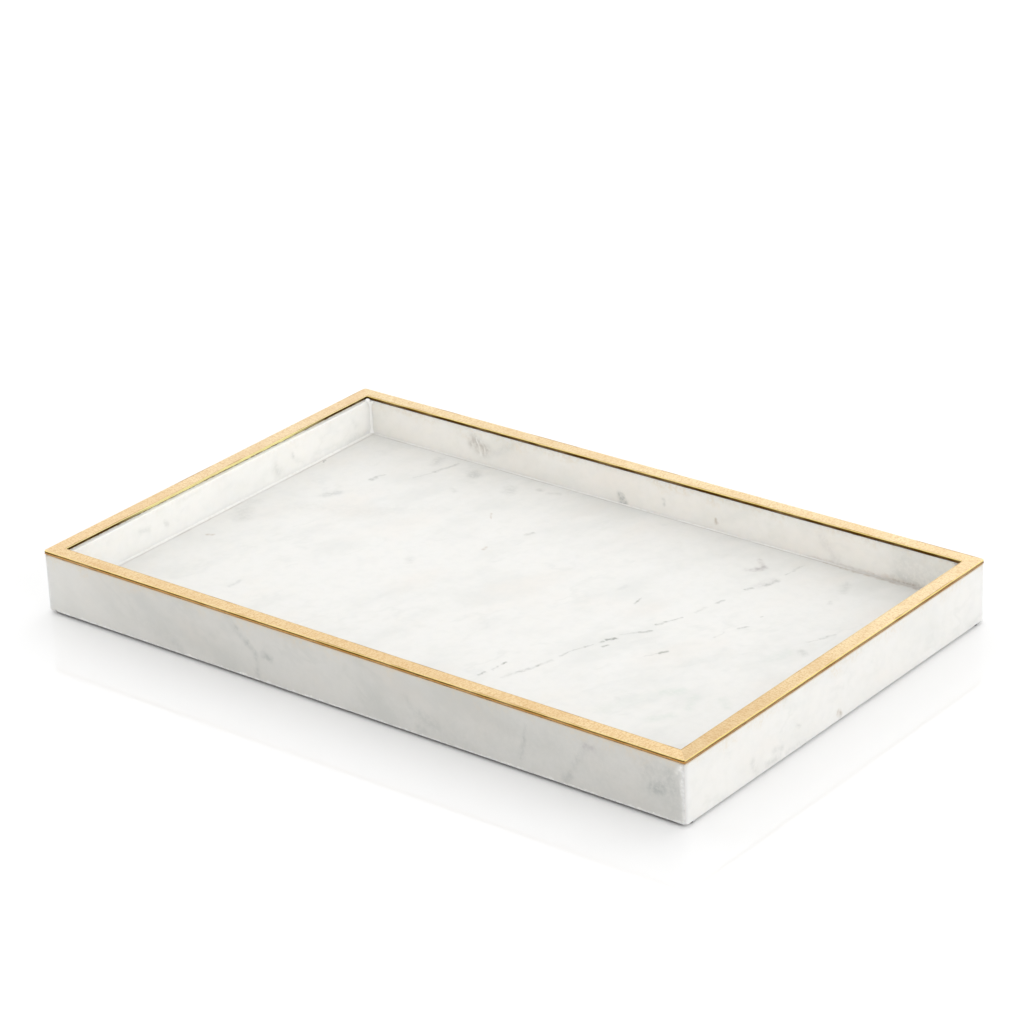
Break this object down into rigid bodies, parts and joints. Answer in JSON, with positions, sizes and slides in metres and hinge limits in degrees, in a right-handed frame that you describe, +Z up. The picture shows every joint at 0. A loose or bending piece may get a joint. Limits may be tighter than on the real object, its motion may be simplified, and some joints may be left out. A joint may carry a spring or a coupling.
{
  "type": "vanity tray",
  "caption": "Low rectangular marble tray with mitred walls and a flat brushed brass rim, standing on small rubber feet.",
  "frame": {"origin": "middle of the footprint, on the plane that the feet stand on", "axes": "+X along the tray to its right-hand end, +Y from the front to the back, +Z up"},
  "size_m": [0.381, 0.241, 0.0327],
  "materials": {
    "marble": "honed and polished white marble with soft grey veins",
    "brass": "brushed along each bar, pale gold",
    "solder": "ground flush with the bars",
    "adhesive": "cured white stone glue, satin",
    "rim_glue": "cured dark brown glue",
    "rubber": "matte black"
  },
  "bodies": {
    "root": {"base_slab": "marble", "front_wall": "marble", "right_wall": "marble", "back_wall": "marble", "left_wall": "marble", "corner_adhesive_front_left": "adhesive", "corner_adhesive_front_right": "adhesive", "corner_adhesive_back_right": "adhesive", "corner_adhesive_back_left": "adhesive", "slab_adhesive_front": "adhesive", "slab_adhesive_right": "adhesive", "slab_adhesive_back": "adhesive", "slab_adhesive_left": "adhesive", "rim_adhesive": "rim_glue", "rim_bar_front": "brass", "rim_bar_right": "brass", "rim_bar_back": "brass", "rim_bar_left": "brass", "rim_solder_front_left": "solder", "rim_solder_front_right": "solder", "rim_solder_back_right": "solder", "rim_solder_back_left": "solder", "foot_front_left": "rubber", "foot_front_right": "rubber", "foot_back_right": "rubber", "foot_back_left": "rubber"}
  },
  "joints": []
}
